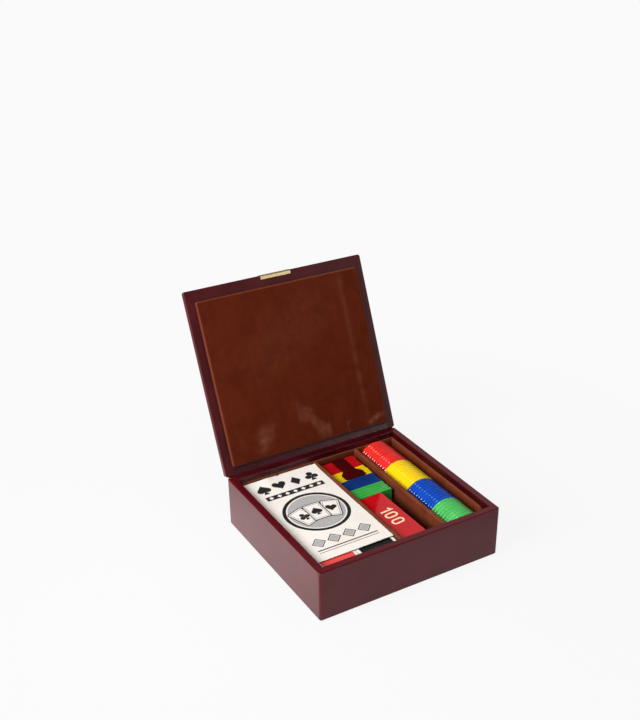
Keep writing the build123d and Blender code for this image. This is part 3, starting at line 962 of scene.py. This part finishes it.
filed = {
    "red": ("pulled_plaques", 6, 2.6, pulled_drop),
    "yellow": ("pulled_plaques", 5, 1.8, pulled_drop),
    "blue": ("blue_file", 5, 0.5),
    "green": ("green_file", 5, 0.0),
}
for colour, fitting in filed.items():
    filed_plaques(colour, *fitting)
rows = {"red": (11, 1.1 * MM), "yellow": (10, 0.5 * MM), "blue": (10, 1.6 * MM), "green": (9, 2.0 * MM)}
for colour, (count, bulge) in rows.items():
    chip_row(colour, count, bulge)


# Long plaques, with plain numerals on the top one

def long_plaques():
    """A pile of long plaques, of which the top one leans and lies a little askew."""
    low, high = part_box("long_plaques")
    top_low, top_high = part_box("top_long_plaque")
    middle = (top_low + top_high) / 2
    pitch = 5.0 * MM
    thick = 4.7 * MM
    edge = 0.8 * MM
    width = high.x - low.x
    length = high.y - low.y
    turn = math.atan2((top_high.x - top_low.x) - width, length)
    lean = math.radians(-3.2)
    outline = rounded_rectangle((-width / 2, -length / 2), (width / 2, length / 2), 2.5 * MM)
    count = round((high.z - low.z + pitch - thick) / pitch)
    places = stacked(middle, low.z, count, pitch, 0.4 * MM, 0.3 * MM)
    pile = gather([slab(outline, thick + 0.2 * MM, edge, place) for place in places])
    piece("long_plaque_pile", pile, bar_resin, "pile", ["long_plaques"])
    raised = Matrix.Translation((middle.x, middle.y, top_low.z + 0.9 * MM))
    place = raised @ Matrix.Rotation(turn, 4, "Z") @ Matrix.Rotation(lean, 4, "Y")
    top = slab(outline, thick, edge, place)
    piece("long_plaque_top", top, bar_resin, "pile_top", ["top_long_plaque"])
    numerals(place, thick)


def numerals(place, height):
    """The plain number 100, read along the plaque towards its front, in cream strokes."""
    line = 2.8 * MM
    half_tall = (19.2 * MM - line) / 2
    half_wide = (11.6 * MM - line) / 2
    first = -3.4 * MM
    pitch = 16.2 * MM
    stem = first - 11.2 * MM
    flag_end = (stem - 5.4 * MM, half_tall - 4.2 * MM)
    aside = -0.6 * MM
    proud = 0.03 * MM
    figures = [stroke([(stem, half_tall + line / 2), (stem, -half_tall - line / 2)], line),
               stroke([flag_end, (stem, half_tall)], line * 0.9)]
    for centre in (first, first + pitch):
        ring = rounded_rectangle((centre - half_wide, -half_tall), (centre + half_wide, half_tall),
                                 half_wide - 0.2 * MM, 8)
        figures.append(stroke(ring, line, closed=True))
    verts, faces = gather(figures)
    verts = [place @ Vector((v.y + aside, -v.x, height + proud)) for v in verts]
    piece("long_plaque_numerals", (verts, faces), numeral_paint, "pile_top")


long_plaques()


# Leather pull, under and behind the lifted plaques, with its tab folded over them

def pull():
    """One strip of leather: a rigid strap under and behind the plaques, and a tab that bends over them."""
    strap_low, strap_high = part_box("pull_strap")
    tab_low, tab_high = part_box("pull_tab")
    middle = (strap_low.x + strap_high.x) / 2
    stem = (strap_high.x - strap_low.x) / 2
    foot = (tab_high.x - tab_low.x) / 2
    foot_length = 12 * MM
    flare_length = 11 * MM
    thick = 1.2 * MM
    corner = 3.5 * MM
    tip = tab_low.y - 2.6 * MM
    fold_height = strap_high.z - pulled_drop - 4 * MM
    centre_line = divide(rounded_path([
        (strap_low.y, strap_low.z + thick / 2),
        (strap_high.y - thick / 2, strap_low.z + thick / 2),
        (strap_high.y - thick / 2, strap_high.z - pulled_drop - thick / 2),
        (tip, tab_low.z - pulled_drop + 0.75 * MM),
    ], 2.2 * MM), 2.0 * MM)
    line = [p for p in centre_line if p[1] < fold_height or p[0] > tip + corner]
    line += [(tip + corner * (1 - cosine), centre_line[-1][1]) for _, cosine in reversed(quarter(6)[:-1])]

    def half_width(y, z):
        reach = y - tip
        if z < fold_height or reach >= foot_length + flare_length:
            return stem
        if reach < corner:
            return foot - corner + math.sqrt(max(0.0, corner**2 - (corner - reach) ** 2))
        if reach < foot_length:
            return foot
        share = (reach - foot_length) / flare_length
        return foot + (stem - foot) * (share * share * (3 - 2 * share))

    across = [-1 + i / 6 for i in range(13)]
    rings = []
    for k, (y, z) in enumerate(line):
        before = Vector(line[max(k - 1, 0)])
        after = Vector(line[min(k + 1, len(line) - 1)])
        direction = (after - before).normalized()
        normal = Vector((0, -direction.y, direction.x)) * (thick / 2)
        bow = 0.25 * MM if z > fold_height + 2 * MM else 0
        wide = half_width(y, z)
        ring = []
        for side, shares in ((-1, across), (1, across[::-1])):
            for share in shares:
                spot = Vector((middle + wide * share, y, z + bow * math.cos(share * math.pi / 2)))
                ring.append(spot + normal * (side * (1 - 0.55 * abs(share) ** 14)))
        rings.append(ring)
    join = next(k for k, (y, z) in enumerate(line) if z > (strap_low.z + strap_high.z) / 2)
    piece("leather_pull_strap", skin(rings[:join + 1]), tab_hide, "pulled_plaques", ["pull_strap"],
          crease=50)
    made = piece("leather_pull_tab", skin(rings[join:]), tab_hide, None, ["pull_tab"], crease=50)
    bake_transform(made)


pull()

# Booklet: folded sheets that lie unevenly on the packs, with a generic print

book_low, book_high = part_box("booklet_cover")
sheet_thickness = 0.35 * MM
cover_bottom = book_high.z - sheet_thickness - 0.4 * MM
print_lift = 0.06 * MM
print_layer = 0.03 * MM
page_count = 5


def sheet_lift(x, y):
    """How far the paper stands above flat: a long wave, a dent at the back, a curled corner and front."""
    across = (x - book_low.x) / (book_high.x - book_low.x)
    down = (y - book_low.y) / (book_high.y - book_low.y)
    wave = 0.35 * MM * math.sin(2.3 * math.pi * down + 0.6) * (0.4 + 0.6 * across)
    dent = 2.1 * MM * math.exp(-(((across - 0.30) / 0.1) ** 2) - (((1 - down) / 0.06) ** 2))
    corner = 1.3 * MM * max(0.0, 1 - math.hypot((1 - across) / 0.25, (1 - down) / 0.12)) ** 2
    front = 0.5 * MM * max(0.0, 1 - down / 0.06) ** 2 * across
    return 0.4 * MM + wave + dent + corner + front


def sheet(name, low, high, bottom, thick, material, replaces, fold):
    """One or more layers of paper following the booklet's lie. fold rounds its left edge down."""
    columns, lines = 44, 70
    rings = []
    for j in range(lines + 1):
        y = low.y + (high.y - low.y) * j / lines
        under = []
        for i in range(columns + 1):
            x = low.x + (high.x - low.x) * i / columns
            drop = fold * max(0.0, 1 - (x - low.x) / (2.2 * MM)) ** 2
            under.append(Vector((x, y, bottom + sheet_lift(x, y) - drop)))
        rings.append([v + Vector((0, 0, thick)) for v in under] + under[::-1])
    piece(name, skin(rings), material, "booklet", replaces, crease=40)


def booklet_sheets():
    """The cover, and the pages under it, each trimmed a little shorter than the one above."""
    sheet("booklet_front_cover", book_low, book_high, cover_bottom, sheet_thickness, cover_paper,
          ["booklet_cover"], fold=0.25 * MM)
    page_room = cover_bottom - book_low.z - 0.2 * MM
    page_pitch = page_room / page_count
    for number in range(page_count):
        trim = (0.3 + 0.25 * number) * MM
        low = Vector((book_low.x + 0.3 * MM, book_low.y + 0.1 * MM * number, 0))
        high = Vector((book_high.x - trim, book_high.y - 0.15 * MM * number, 0))
        replaced = ["booklet_pages"] if number == 0 else []
        sheet(f"booklet_page_{number + 1}", low, high, cover_bottom - page_pitch * (number + 1) + 0.05 * MM,
              page_pitch - 0.06 * MM, page_paper, replaced, fold=0.4 * MM)


booklet_sheets()


def printed(name, shapes, material):
    """Flat shapes printed on the cover: each a mesh of points and faces, and the layer it lies in."""
    flat = bmesh.new()
    for verts, faces, layer in shapes:
        made = [flat.verts.new((v[0], v[1], print_lift + layer * print_layer)) for v in verts]
        for face in faces:
            flat.faces.new([made[i] for i in face])
    bmesh.ops.triangulate(flat, faces=flat.faces)
    long_edges = [e for e in flat.edges if e.calc_length() > 5 * MM]
    bmesh.ops.subdivide_edges(flat, edges=long_edges, cuts=3)
    bmesh.ops.triangulate(flat, faces=flat.faces)
    for v in flat.verts:
        v.co.z += cover_bottom + sheet_thickness + sheet_lift(v.co.x, v.co.y)
    flat.verts.index_update()
    verts = [v.co.copy() for v in flat.verts]
    faces = [tuple(v.index for v in f.verts) for f in flat.faces]
    flat.free()
    piece(name, (verts, faces), material, "booklet")


def outline_shape(points, layer=0):
    return (points, [tuple(range(len(points)))], layer)


def line_shape(points, width, closed=False, layer=0):
    return (*stroke(points, width, closed), layer)


def moved(points, centre, size=1.0, turn=0.0):
    """Points of a motif at a place, size and turn."""
    c, s = math.cos(turn), math.sin(turn)
    return [(centre[0] + size * (x * c - y * s), centre[1] + size * (x * s + y * c)) for x, y in points]


def heart():
    """The common heart curve, about one unit across."""
    points = []
    for k in range(40):
        t = 2 * math.pi * k / 40
        x = 16 * math.sin(t) ** 3
        y = 13 * math.cos(t) - 5 * math.cos(2 * t) - 2 * math.cos(3 * t) - math.cos(4 * t)
        points.append((x / 34, y / 34 + 0.08))
    return points[::-1]


def suit(kind, centre, size, turn=0.0):
    """A traditional card suit, as one or more outlines."""
    stem = [(-0.2, -0.5), (0.2, -0.5), (0.05, -0.2), (0.04, 0.05), (-0.04, 0.05), (-0.05, -0.2)]
    leaves = [circle(0.21, 24, leaf) for leaf in ((0, 0.26), (-0.24, -0.08), (0.24, -0.08))]
    outlines = {
        "diamond": [[(0, -0.5), (0.36, 0), (0, 0.5), (-0.36, 0)]],
        "heart": [heart()],
        "spade": [[(-x, 0.14 - y) for x, y in heart()], stem],
        "club": leaves + [stem],
    }
    return [moved(outline, centre, size, turn) for outline in outlines[kind]]


def fanned_cards(centre, black, white, grey):
    """Three fanned cards, each a black outline, a paper face and a suit, laid one over another."""
    half = Vector((13.5, 20)) * MM
    border = Vector((1.5, 1.5)) * MM
    pitch = 21 * MM
    sink = 3 * MM
    outer = rounded_rectangle(-half, half, 3 * MM, 4)
    face = rounded_rectangle(border - half, half - border, 1.8 * MM, 4)
    frame_line = inset(face, 2 * MM)
    for number, (side, kind) in enumerate(((-1, "club"), (1, "heart"), (0, "spade"))):
        turn = math.radians(-20 * side)
        spot = (centre[0] + side * pitch, centre[1] - abs(side) * sink)
        layer = 1 + 3 * number
        black.append(outline_shape(moved(outer, spot, turn=turn), layer))
        white.append(outline_shape(moved(face, spot, turn=turn), layer + 1))
        grey.append(line_shape(moved(frame_line, spot, turn=turn), 1.2 * MM, True, layer + 2))
        black += [outline_shape(s, layer + 2) for s in suit(kind, spot, 17 * MM, turn)]


def booklet_print():
    """Suits, a band of lozenges, fanned cards on a ring and a row of diamonds: a design of its own."""
    middle_x = (book_low.x + book_high.x) / 2
    middle_y = (book_low.y + book_high.y) / 2
    half_width = 45 * MM
    band_height = 57 * MM
    ring_centre = (middle_x, middle_y - 2 * MM)
    lozenge = [(0, -0.5), (0.5, 0), (0, 0.5), (-0.5, 0)]
    black, white, grey = [], [], []

    def row(count, pitch, height):
        """Places side by side about the middle, that far above the cover's centre."""
        return [(middle_x + (number - (count - 1) / 2) * pitch, middle_y + height) for number in range(count)]

    for kind, spot in zip(("spade", "heart", "diamond", "club"), row(4, 25 * MM, 80 * MM)):
        black += [outline_shape(s) for s in suit(kind, spot, 22 * MM)]
    band = rectangle(half_width, 5 * MM)
    black.append(outline_shape(moved(band, (middle_x, middle_y + band_height))))
    for spot in row(7, 12.5 * MM, band_height):
        white.append(outline_shape(moved(lozenge, spot, 7 * MM), 1))
    black.append(line_shape(circle(44 * MM, 72, ring_centre), 5.0 * MM, closed=True))
    grey.append(outline_shape(circle(39.5 * MM, 72, ring_centre)))
    fanned_cards(ring_centre, black, white, grey)
    for spot in row(4, 23 * MM, -68 * MM):
        black.append(line_shape(moved(lozenge, spot, 19 * MM), 2.0 * MM, closed=True))
        grey.append(outline_shape(moved(lozenge, spot, 15 * MM)))
    for height, width in ((-84 * MM, 2.0 * MM), (-89 * MM, 0.9 * MM)):
        ends = [(middle_x + side * half_width, middle_y + height) for side in (-1, 1)]
        black.append(line_shape(ends, width))
    printed("booklet_print_black", black, black_ink)
    printed("booklet_print_white", white, cover_paper)
    printed("booklet_print_grey", grey, grey_ink)


booklet_print()


def staples():
    """Two wire staples in the booklet's fold."""
    low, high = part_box("booklet_staples")
    wire = (high.z - low.z) / 2
    length = 12 * MM
    wires = []
    for y in (low.y + length / 2, high.y - length / 2):
        rings = []
        for share, size in ((-0.5, wire / 2), (-0.47, wire), (0.47, wire), (0.5, wire / 2)):
            section = circle(size, 10, (high.x - wire, (low.z + high.z) / 2))
            rings.append([Vector((x, y + share * length, z)) for x, z in section])
        wires.append(skin(rings))
    piece("wire_staples", gather(wires), staple_steel, "booklet", ["booklet_staples"])


staples()

# CAD nodes that stay, with better materials

kept = {
    board_wood: ("base_board", "front_wall", "right_wall", "back_wall", "left_wall", "lid_board",
                 "card_platform_battens", "plaque_platform_battens"),
    pad_card: ("lid_pad_board",),
    base_felt: ("underside_cloth",),
    insert_suede: ("insert_floor", "card_platform", "plaque_platform"),
}
for material, nodes in kept.items():
    for node in nodes:
        mesh = frame["nodes"][node].data
        mesh.materials.clear()
        mesh.materials.append(material)


# Camera, lights and floor

def camera():
    """The photograph's view: a camera solved on the box's corners."""
    yaw, pitch = 0.549, 0.5196
    photo_width, photo_height = 640, 720
    centre_x, centre_y = 352, 432
    data = bpy.data.cameras.new("camera")
    data.lens = 54.79
    data.shift_x = (photo_width / 2 - centre_x) / photo_height
    data.shift_y = (centre_y - photo_height / 2) / photo_height
    made = in_scene("camera", data)
    forward = Vector((math.sin(yaw) * math.cos(pitch), math.cos(yaw) * math.cos(pitch), -math.sin(pitch)))
    made.location = (-0.6701, -1.0726, 0.8953)
    made.rotation_euler = forward.to_track_quat("-Z", "Y").to_euler()
    bpy.context.scene.camera = made


def lamp(name, spot, size, power):
    """A soft light of that width and depth, aimed at the box."""
    target = Vector((0, 0, 0.05))
    data = bpy.data.lights.new(name, "AREA")
    data.shape = "RECTANGLE"
    data.size, data.size_y = size
    data.energy = power
    made = in_scene(name, data)
    made.location = spot
    made.rotation_euler = (target - Vector(spot)).to_track_quat("-Z", "Y").to_euler()


backdrop = 0.955
room_light = 0.35


def world():
    """An even room. Mirrors show a bright band low behind the box, and a dim front, bright at its right."""
    made = bpy.data.worlds.new("studio")
    bpy.context.scene.world = made
    made.use_nodes = True
    room = made.node_tree.nodes["Background"]
    n = Nodes(made.node_tree)
    direction = n.node("TexCoord").outputs["Generated"]
    x, y, z = n.node("SeparateXYZ", {0: direction}).outputs
    band = n.span(x, 0.35, 0.45, 0.14, 0.66)
    rising = n.span(z, 0.34, 0.47, 0.04, band)
    behind = n.span(z, 0.58, 0.80, rising, 0.10)
    right = n.span(x, 0.42, 0.58, 0.03, 2.40)
    front = n.span(z, 0.34, 0.50, right, 0.03)
    shine = n.span(y, -0.3, 0.4, front, behind)
    n.fill(room.inputs["Color"], (1, 1, 1))
    n.fill(room.inputs["Strength"], n.by_ray(room_light, backdrop, shine))


def floor():
    """A white sweep with a faint shadow of the box. Reflections show it brighter towards the window."""
    reach = 12.0
    mesh = bpy.data.meshes.new("floor")
    mesh.from_pydata([(x, y, 0) for x, y in rectangle(reach, reach)], [], [(0, 1, 2, 3)])
    made = in_scene("floor", mesh)
    s = Surface("floor_paper", Base_Color=(0.9, 0.9, 0.9), Roughness=1.0, Specular_IOR_Level=0.0)
    place = s.node("NewGeometry").outputs["Position"]
    window = (-0.83, 0.55, 0)
    to_window = s.node("VectorMath", {0: place, 1: window}, operation="DOT_PRODUCT").outputs["Value"]
    distance = s.node("VectorMath", {0: place}, operation="LENGTH").outputs["Value"]
    near = s.span(to_window, 0.02, 0.16, 0.86, 1.48)
    shine = s.span(distance, 0.22, 0.42, near, 0.15)
    white = s.span(distance, 0.3, 0.7, 0.93, 1.0)
    pale = s.node("Emission", {"Strength": s.by_ray(0.0, backdrop, shine)}).outputs[0]
    mix = s.node("MixShader", {0: s.by_ray(0.0, white, 0.75), 1: s.shader.outputs[0], 2: pale})
    s.fill(s.tree.nodes["Material Output"].inputs["Surface"], mix.outputs[0])
    mesh.materials.append(s.material)


camera()
world()
floor()
lamp("window", (-1.65, -0.2, 1.12), (0.9, 0.9), 43)
lamp("overhead", (-0.25, 0.0, 2.0), (1.5, 0.3), 6.5)
bpy.context.scene.view_settings.view_transform = "Standard"

bpy.context.view_layer.update()
